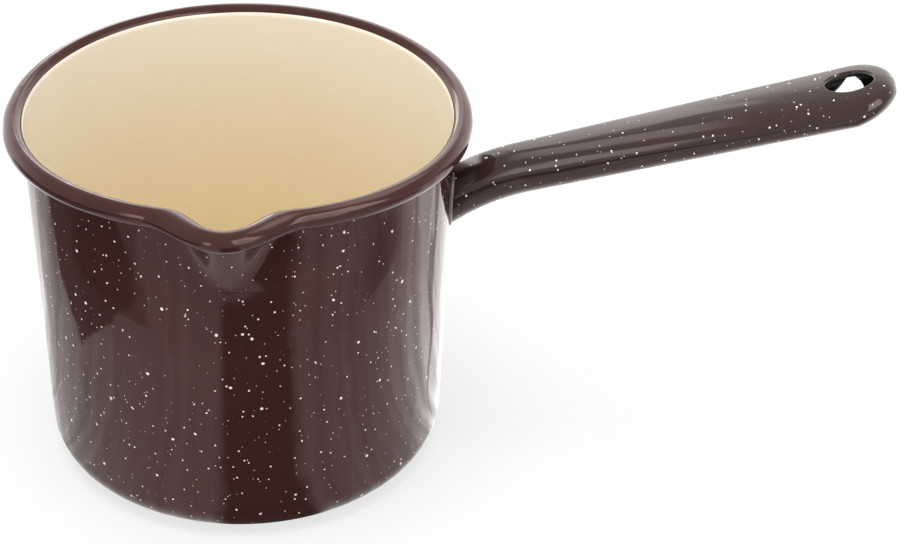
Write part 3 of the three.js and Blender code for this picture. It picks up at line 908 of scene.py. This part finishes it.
def ground_coat(colours):
    """Ground coat, fired on the raw sheet first: blue-black, dull and slightly mottled."""
    material, tree, place = new_material("fired_ground_coat")
    dull = add_node(
        tree, "ShaderNodeTexNoise", {"Vector": place, "Scale": 1 / GROUND_GRAIN, "Detail": 4.0}, "Fac"
    )
    darker = [channel * GROUND_DARKEST for channel in colours.ground[:3]] + [1.0]
    shader = add_node(tree, "ShaderNodeBsdfPrincipled", {
        "Base Color": mottled(tree, place, GROUND_DRIFT, colours.ground, darker),
        "Roughness": add_node(tree, "ShaderNodeMapRange", {"Value": dull, **GROUND_ROUGHNESS}),
        "IOR": ENAMEL_IOR,
    })
    add_node(tree, "ShaderNodeOutputMaterial", {"Surface": shader}, None)
    return material


# Streaks of the drawing die: their width, how they are drawn out upwards, and the roughness across them
DIE_STREAK = 0.8 * MM
UP_THE_DRAW = (1.0, 1.0, 0.05)
STEEL_ROUGHNESS = {"To Min": 0.35, "To Max": 0.55}


def drawn_steel(colours):
    """Cold-rolled steel, drawn and welded: grey metal with fine streaks from the drawing die."""
    material, tree, place = new_material("cold_drawn_steel")
    drawn = add_node(tree, "ShaderNodeMapping", {"Vector": place, "Scale": UP_THE_DRAW})
    streaks = add_node(
        tree, "ShaderNodeTexNoise", {"Vector": drawn, "Scale": 1 / DIE_STREAK, "Detail": 2.0}, "Fac"
    )
    shader = add_node(tree, "ShaderNodeBsdfPrincipled", {
        "Base Color": colours.steel, "Metallic": 1.0,
        "Roughness": add_node(tree, "ShaderNodeMapRange", {"Value": streaks, **STEEL_ROUGHNESS}),
    })
    add_node(tree, "ShaderNodeOutputMaterial", {"Surface": shader}, None)
    return material


# Stage

# Camera at the photograph's viewing angle
CAMERA_PLACE = Vector((50.23, -636.06, 469.01)) * MM
CAMERA_YAW = math.radians(0.9)
CAMERA_PITCH = math.radians(-33.14)
CAMERA_ROLL = math.radians(1.2)
CAMERA_LENS = 104.0
CAMERA_SENSOR = 36.0
CAMERA_NEAR = 10 * MM
# White sweep: half its side, how far it lies below the base, and the shade and the lift that the eye sees
FLOOR_HALF = 3.0
FLOOR_DROP = 0.2 * MM
FLOOR_SHADE = 0.25
FLOOR_LIFT = 0.72
# Plain light: a white room, and a square soft light overhead
ROOM_LIGHT = 1.0
SOFTBOX_PLACE = Vector((-0.05, -0.1, 0.95))
SOFTBOX_AIM = Vector((0.0, 0.0, 0.05))
SOFTBOX_SIZE = 0.6
SOFTBOX_POWER = 6.4
# Only the gloss sees the brightnesses from here on. Of the floor: in front, and behind towards a bearing
# from the lip, rising between two cosines of the angle off that bearing
FLOOR_FRONT = 0.84
FLOOR_BEHIND = 2.05
BEHIND_BEARING = math.radians(162)
BEHIND_RISE = {"From Min": -0.25, "From Max": 0.6}
# Dark patches on the floor, as sectors: the point that each fans out from, degrees of bearing at which it
# starts and ends and the soft edge there, near and far distance from the point, and its brightness against
# the floor
DARK_PATCHES = (
    ((0.0, 0.0), (-7, 25, 4), (0.0, 0.5), 0.08),
    ((-0.112, -0.025), (-123, -27, 3), (0.0, 0.6), 0.2),
    ((0.0, 0.0), (-80, -41, 2), (0.2, 0.6), 0.5),
    ((0.0, 0.0), (60, 82, 5), (0.2, 1.0), 0.45),
    ((0.061, -0.002), (122, 129, 1.5), (0.0, 0.5), 0.45),
)
PATCH_EDGE = 4 * MM
# The floor isn't even: streaks fan out from the pan, and the patches have ragged edges
STREAKS_PER_RADIAN = 9
STREAK_RANGE = {"From Min": 0.3, "From Max": 0.7, "To Min": 0.8, "To Max": 1.2}
PATCH_RAGGED = 30 * MM
PATCH_SHIFT = (20 * MM, 20 * MM, 0.0)
# Brightness of the room: around and overhead, and in a band low down behind the pan. The band rises from 0
# to 1 between two values of each named part of the direction
ROOM_AROUND = 0.85
ROOM_BEHIND = 2.5
BAND_EDGES = (
    ("Y", -0.1, 0.7, "SMOOTHSTEP"),
    ("Z", 0.75, 0.3, "SMOOTHSTEP"),
    ("Z", -0.1, -0.04, "LINEAR"),
)
# Soft lights in the room: degrees of bearing and of height between which each shows, brightness
ROOM_LIGHTS = (
    (22, 69, 18, 60, 4.3),
    (-45, -30, 0, 26, 4.2),
)
ROOM_LIGHT_EDGE = 3
# White cards behind the pan, over and in front of the handle, beside its root and under the lip: a corner,
# two sides, the brightness, and the share of each side over which the card fades out
CARDS = {
    "left_card": ((-0.135, 0.3, 0.12), (0.09, 0.0, 0.0), (0.0, 0.0, 0.16), 5.0, 0.15),
    "middle_card": ((-0.03, 0.3, 0.05), (0.13, 0.0, 0.0), (0.0, 0.0, 0.31), 2.4, 0.1),
    "right_card": ((0.1, 0.3, 0.05), (0.2, 0.0, 0.0), (0.0, 0.0, 0.23), 1.8, 0.1),
    "top_card": ((0.02, -0.06, 0.2), (0.1, 0.0, 0.0), (0.0, 0.125, 0.0), 2.6, 0.3),
    "handle_card": ((0.02, -0.12, 0.1), (0.09, 0.0, 0.0), (0.0, 0.0, 0.1), 3.0, 0.3),
    "root_card": ((0.0632, -0.001, 0.0795), (-0.005, 0.035, 0.0), (0.0, 0.0, 0.0235), 3.2, 0.28),
    "lip_card": ((-0.013, -0.0558, 0.0835), (0.024, 0.0, 0.0), (0.0, -0.0157, 0.0), 0.84, 0.1),
}


def seen_share(tree, *rays):
    """1 for the named kinds of ray, else 0."""
    path = add_node(tree, "ShaderNodeLightPath", output=None)
    total = path[rays[0]]
    for ray in rays[1:]:
        total = add_node(tree, "ShaderNodeMath", {0: total, 1: path[ray]}, operation="MAXIMUM")
    return total


def between(tree, value, start, end, soft):
    """1 where a value lies between two bounds, with a soft edge to both sides of each bound."""
    half = (end - start) / 2
    off = add_node(tree, "ShaderNodeMath", {0: value, 1: (start + end) / 2}, operation="SUBTRACT")
    aside = add_node(tree, "ShaderNodeMath", {0: off}, operation="ABSOLUTE")
    return add_node(
        tree, "ShaderNodeMapRange", {"Value": aside, "From Min": half + soft, "From Max": half - soft},
        interpolation_type="SMOOTHSTEP",
    )


def bearing_from_lip(tree, place):
    """Angle around Z from the lip's side, towards the handle."""
    parts = add_node(tree, "ShaderNodeSeparateXYZ", {0: place}, None)
    towards_lip = add_node(tree, "ShaderNodeMath", {0: parts["Y"], 1: -1.0}, operation="MULTIPLY")
    return add_node(tree, "ShaderNodeMath", {0: parts["X"], 1: towards_lip}, operation="ARCTAN2")


def dark_patch(tree, place, point, bearings, distances):
    """1 inside a sector of the floor: between two bearings and two distances from its point."""
    off = add_node(tree, "ShaderNodeVectorMath", {0: place, 1: (*point, 0.0)}, operation="SUBTRACT")
    across = between(tree, bearing_from_lip(tree, off), *np.radians(bearings))
    out = add_node(tree, "ShaderNodeVectorMath", {0: off}, "Value", operation="LENGTH")
    along = between(tree, out, *distances, PATCH_EDGE)
    return add_node(tree, "ShaderNodeMath", {0: across, 1: along}, operation="MULTIPLY")


def floor_gloss(tree, place):
    """Brightness of the floor in the gloss: a rise towards the back, streaks, less the dark patches."""
    pushed = ragged(tree, place, PATCH_RAGGED, PATCH_SHIFT, detail=2.0)
    bearing = bearing_from_lip(tree, pushed)
    off = add_node(tree, "ShaderNodeMath", {0: bearing, 1: BEHIND_BEARING}, operation="SUBTRACT")
    behind = add_node(tree, "ShaderNodeMath", {0: off}, operation="COSINE")
    level = add_node(
        tree, "ShaderNodeMapRange",
        {"Value": behind, **BEHIND_RISE, "To Min": FLOOR_FRONT, "To Max": FLOOR_BEHIND},
        interpolation_type="SMOOTHSTEP",
    )
    fan = add_node(
        tree, "ShaderNodeTexNoise", {"W": bearing, "Scale": STREAKS_PER_RADIAN, "Detail": 2.0}, "Fac",
        noise_dimensions="1D",
    )
    streak = add_node(tree, "ShaderNodeMapRange", {"Value": fan, **STREAK_RANGE})
    level = add_node(tree, "ShaderNodeMath", {0: level, 1: streak}, operation="MULTIPLY")
    for point, bearings, distances, dark in DARK_PATCHES:
        inside = dark_patch(tree, pushed, point, bearings, distances)
        kept = add_node(tree, "ShaderNodeMapRange", {"Value": inside, "To Min": 1.0, "To Max": dark})
        level = add_node(tree, "ShaderNodeMath", {0: level, 1: kept}, operation="MULTIPLY")
    return level


def room_gloss(tree):
    """Brightness of the room in the gloss: a bright band low down behind, and the soft lights."""
    direction = add_node(tree, "ShaderNodeTexCoord", output="Generated")
    parts = add_node(tree, "ShaderNodeSeparateXYZ", {0: direction}, None)
    band = 1.0
    for part, start, end, course in BAND_EDGES:
        edge = add_node(
            tree, "ShaderNodeMapRange", {"Value": parts[part], "From Min": start, "From Max": end},
            interpolation_type=course,
        )
        band = add_node(tree, "ShaderNodeMath", {0: band, 1: edge}, operation="MULTIPLY")
    level = add_node(
        tree, "ShaderNodeMapRange", {"Value": band, "To Min": ROOM_AROUND, "To Max": ROOM_BEHIND}
    )
    bearing = bearing_from_lip(tree, direction)
    height = add_node(tree, "ShaderNodeMath", {0: parts["Z"]}, operation="ARCSINE")
    for left, right, bottom, top, brightness in ROOM_LIGHTS:
        across = between(tree, bearing, *np.radians((left, right, ROOM_LIGHT_EDGE)))
        upright = between(tree, height, *np.radians((bottom, top, ROOM_LIGHT_EDGE)))
        inside = add_node(tree, "ShaderNodeMath", {0: across, 1: upright}, operation="MULTIPLY")
        added = {0: inside, 1: brightness, 2: level}
        level = add_node(tree, "ShaderNodeMath", added, operation="MULTIPLY_ADD")
    return level


def floor_material(colours, open_radius):
    """Matt white sweep that keeps the shadow and is lifted to white to the eye.

    It is clear from below and open under the base, so the underside is lit and can be looked at.
    """
    material, tree, place = new_material("matt_white_sweep")
    matt = add_node(tree, "ShaderNodeBsdfDiffuse", {"Color": colours.floor})
    shade = add_node(tree, "ShaderNodeBsdfDiffuse", {"Color": (FLOOR_SHADE,) * 3 + (1.0,)})
    lift = add_node(tree, "ShaderNodeEmission", {"Strength": FLOOR_LIFT})
    white = add_node(tree, "ShaderNodeAddShader", {0: shade, 1: lift})
    looked_at = seen_share(tree, "Is Camera Ray", "Is Transmission Ray")
    seen = add_node(tree, "ShaderNodeMixShader", {0: looked_at, 1: matt, 2: white})
    glossy = seen_share(tree, "Is Glossy Ray")
    gloss = add_node(tree, "ShaderNodeEmission", {"Strength": floor_gloss(tree, place)})
    whole = add_node(tree, "ShaderNodeMixShader", {0: glossy, 1: seen, 2: gloss})
    below = add_node(tree, "ShaderNodeNewGeometry", output="Backfacing")
    out = add_node(tree, "ShaderNodeVectorMath", {0: place}, "Value", operation="LENGTH")
    under = add_node(tree, "ShaderNodeMath", {0: out, 1: open_radius}, operation="LESS_THAN")
    opened = add_node(tree, "ShaderNodeMath", {0: under, 1: below}, operation="MAXIMUM")
    clear = add_node(tree, "ShaderNodeBsdfTransparent")
    sweep = add_node(tree, "ShaderNodeMixShader", {0: opened, 1: whole, 2: clear})
    add_node(tree, "ShaderNodeOutputMaterial", {"Surface": sweep}, None)
    return material


def card_material(middle, sides, brightness, soft):
    """Glowing white card that fades out towards its edges, over a share of each side."""
    material, tree, place = new_material("white_card")
    off = add_node(tree, "ShaderNodeVectorMath", {0: place, 1: middle}, operation="SUBTRACT")
    cover = 1.0
    for side in sides:
        scaled = side / (side @ side)
        along = add_node(
            tree, "ShaderNodeVectorMath", {0: off, 1: scaled}, "Value", operation="DOT_PRODUCT"
        )
        aside = add_node(tree, "ShaderNodeMath", {0: along}, operation="ABSOLUTE")
        fade = add_node(
            tree, "ShaderNodeMapRange", {"Value": aside, "From Min": 0.5, "From Max": 0.5 - soft},
            interpolation_type="SMOOTHSTEP",
        )
        cover = add_node(tree, "ShaderNodeMath", {0: cover, 1: fade}, operation="MULTIPLY")
    glow = add_node(tree, "ShaderNodeEmission", {"Strength": brightness})
    clear = add_node(tree, "ShaderNodeBsdfTransparent")
    card = add_node(tree, "ShaderNodeMixShader", {0: cover, 1: clear, 2: glow})
    add_node(tree, "ShaderNodeOutputMaterial", {"Surface": card}, None)
    return material


def add_object(mesh, material):
    """Puts a mesh with its material into the scene, at the origin."""
    made = bpy.data.objects.new(mesh.name, mesh)
    bpy.context.scene.collection.objects.link(made)
    mesh.materials.append(material)
    return made


def stage_rectangle(name, corner, sides, material):
    """Flat piece of the stage: a rectangle from a corner and two sides."""
    along, across = sides
    points = np.stack([corner, corner + along, corner + along + across, corner + across])
    piece = add_object(make_mesh(name, points, np.array([[0, 1, 2, 3]])), material)
    return piece


def make_floor(colours, open_radius):
    """Square floor a little below the base."""
    corner = np.array([-FLOOR_HALF, -FLOOR_HALF, -FLOOR_DROP])
    sides = 2 * FLOOR_HALF * np.eye(3)[:2]
    stage_rectangle("floor", corner, sides, floor_material(colours, open_radius))


def make_card(name, corner, along, across, brightness, soft):
    """White card with soft edges that shows in the gloss and casts no light or shadow."""
    corner, *sides = np.array([corner, along, across])
    material = card_material(corner + sum(sides) / 2, sides, brightness, soft)
    card = stage_rectangle(name, corner, sides, material)
    card.visible_camera = False
    card.visible_diffuse = False
    card.visible_transmission = False
    card.visible_shadow = False


def make_world():
    """White room: plain light on the object, white to the eye, and its own brightness in the gloss."""
    world = bpy.data.worlds.new("white_studio")
    world.use_nodes = True
    tree = world.node_tree
    tree.nodes.clear()
    glossy = seen_share(tree, "Is Glossy Ray")
    strength = add_node(tree, "ShaderNodeMix", {"Factor": glossy, "A": ROOM_LIGHT, "B": room_gloss(tree)})
    background = add_node(tree, "ShaderNodeBackground", {"Strength": strength})
    add_node(tree, "ShaderNodeOutputWorld", {"Surface": background}, None)
    bpy.context.scene.world = world


def make_camera():
    """Camera that looks along +Y, then is rolled, pitched and turned, and moved to its place."""
    data = bpy.data.cameras.new("photo_camera")
    data.lens = CAMERA_LENS
    data.sensor_width = CAMERA_SENSOR
    data.sensor_fit = "HORIZONTAL"
    data.clip_start = CAMERA_NEAR
    camera = bpy.data.objects.new("photo_camera", data)
    yaw = Matrix.Rotation(-CAMERA_YAW, 4, "Z")
    pitch = Matrix.Rotation(math.pi / 2 + CAMERA_PITCH, 4, "X")
    roll = Matrix.Rotation(CAMERA_ROLL, 4, "Z")
    camera.matrix_world = Matrix.Translation(CAMERA_PLACE) @ yaw @ pitch @ roll
    bpy.context.scene.collection.objects.link(camera)
    bpy.context.scene.camera = camera


def make_softbox():
    """Square soft light that the gloss doesn't show, because the room and the cards give the highlights."""
    data = bpy.data.lights.new("top_softbox", "AREA")
    data.shape = "SQUARE"
    data.size = SOFTBOX_SIZE
    data.energy = SOFTBOX_POWER
    lamp = bpy.data.objects.new("top_softbox", data)
    lamp.location = SOFTBOX_PLACE
    lamp.rotation_euler = (SOFTBOX_AIM - SOFTBOX_PLACE).to_track_quat("-Z", "Y").to_euler()
    lamp.visible_glossy = False
    bpy.context.scene.collection.objects.link(lamp)


# Operators

MADE_FINISHES = {}


def place_piece(context, mesh, finish, node):
    """Puts a piece into the scene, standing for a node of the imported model. Each finish is made once."""
    if finish not in MADE_FINISHES:
        MADE_FINISHES[finish] = finish(context.scene.saucepan_colours)
    piece = add_object(mesh, MADE_FINISHES[finish])
    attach(piece, BODY)
    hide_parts(node)
    return piece


def thicken(piece, thickness):
    """Gives a skin its thickness, inwards from its face."""
    solid = piece.modifiers.new("thickness", "SOLIDIFY")
    solid.thickness = thickness
    solid.offset = -1.0
    solid.use_even_offset = True


class SAUCEPAN_OT_body(bpy.types.Operator):
    """Build the drawn steel body under the coats"""

    bl_idname = "saucepan.body"
    bl_label = "Steel body"

    def execute(self, context):
        mesh = steel_body_mesh(context.scene.saucepan_pan)
        place_piece(context, mesh, drawn_steel, "steel_body")
        return {"FINISHED"}


class SAUCEPAN_OT_lining(bpy.types.Operator):
    """Build the cream lining"""

    bl_idname = "saucepan.lining"
    bl_label = "Cream lining"

    def execute(self, context):
        mesh = lining_mesh(context.scene.saucepan_pan)
        place_piece(context, mesh, cream_enamel, "inner_enamel")
        return {"FINISHED"}


class SAUCEPAN_OT_outside(bpy.types.Operator):
    """Build the brown coats of wall, base and rim"""

    bl_idname = "saucepan.outside"
    bl_label = "Outside coats"

    def execute(self, context):
        pan = context.scene.saucepan_pan
        place_piece(context, wall_coat_mesh(pan), wall_enamel, "outer_enamel")
        place_piece(context, base_coat_mesh(pan), plain_enamel, "base_enamel")
        place_piece(context, rim_coat_mesh(pan), plain_enamel, "rim_enamel")
        return {"FINISHED"}


class SAUCEPAN_OT_handle(bpy.types.Operator):
    """Build the handle's sheet and its speckled coat"""

    bl_idname = "saucepan.handle"
    bl_label = "Handle"

    def execute(self, context):
        pan = context.scene.saucepan_pan
        handle = context.scene.saucepan_handle
        mesh = handle_sheet_mesh(pan, handle)
        sheet = place_piece(context, mesh, ground_coat, "handle_steel")
        thicken(sheet, handle.sheet)
        mesh = handle_coat_mesh(pan, handle)
        coat = place_piece(context, mesh, handle_enamel, "handle_enamel")
        thicken(coat, pan.coat)
        return {"FINISHED"}


class SAUCEPAN_OT_welds(bpy.types.Operator):
    """Build the seam weld and the bead around the handle's root"""

    bl_idname = "saucepan.welds"
    bl_label = "Welds"

    def execute(self, context):
        pan = context.scene.saucepan_pan
        handle = context.scene.saucepan_handle
        place_piece(context, seam_weld_mesh(pan, handle), drawn_steel, "handle_seam_weld")
        # The bead at the root is coloured pale, a painted highlight
        place_piece(context, root_weld_mesh(pan, handle), weld_painted_highlight_enamel, "handle_root_weld")
        return {"FINISHED"}


class SAUCEPAN_OT_stage(bpy.types.Operator):
    """Set up the floor, the room, the camera, the soft light and the cards"""

    bl_idname = "saucepan.stage"
    bl_label = "Stage"

    def execute(self, context):
        scene = context.scene
        scene.view_settings.view_transform = "Standard"
        make_floor(scene.saucepan_colours, corner_centre(scene.saucepan_pan))
        make_world()
        make_camera()
        make_softbox()
        for name, settings in CARDS.items():
            make_card(name, *settings)
        return {"FINISHED"}


class SAUCEPAN_PT_panel(bpy.types.Panel):
    """Sidebar list of the pieces"""

    bl_idname = "SAUCEPAN_PT_panel"
    bl_label = "Enamel saucepan"
    bl_space_type = "VIEW_3D"
    bl_region_type = "UI"
    bl_category = "Saucepan"

    def draw(self, context):
        for operator in OPERATORS:
            self.layout.operator(operator.bl_idname)
        for group in SETTINGS:
            settings = getattr(context.scene, group)
            for key in settings.bl_rna.properties.keys():
                if key not in ("rna_type", "name"):
                    self.layout.prop(settings, key)


OPERATORS = (
    SAUCEPAN_OT_body,
    SAUCEPAN_OT_lining,
    SAUCEPAN_OT_outside,
    SAUCEPAN_OT_handle,
    SAUCEPAN_OT_welds,
    SAUCEPAN_OT_stage,
)
SETTINGS = {
    "saucepan_pan": PanSizes,
    "saucepan_handle": HandleSizes,
    "saucepan_colours": EnamelColours,
}
CLASSES = (*SETTINGS.values(), *OPERATORS, SAUCEPAN_PT_panel)


def register():
    """Makes the operators, the panel and the settings known to Blender."""
    for item in CLASSES:
        bpy.utils.register_class(item)
    for key, group in SETTINGS.items():
        setattr(bpy.types.Scene, key, bpy.props.PointerProperty(type=group))


def unregister():
    """Takes them away again."""
    for key in SETTINGS:
        delattr(bpy.types.Scene, key)
    for item in reversed(CLASSES):
        bpy.utils.unregister_class(item)


def main():
    """Builds every piece and the stage."""
    register()
    bpy.ops.saucepan.body()
    bpy.ops.saucepan.lining()
    bpy.ops.saucepan.outside()
    bpy.ops.saucepan.handle()
    bpy.ops.saucepan.welds()
    bpy.ops.saucepan.stage()


if __name__ == "__main__":
    main()
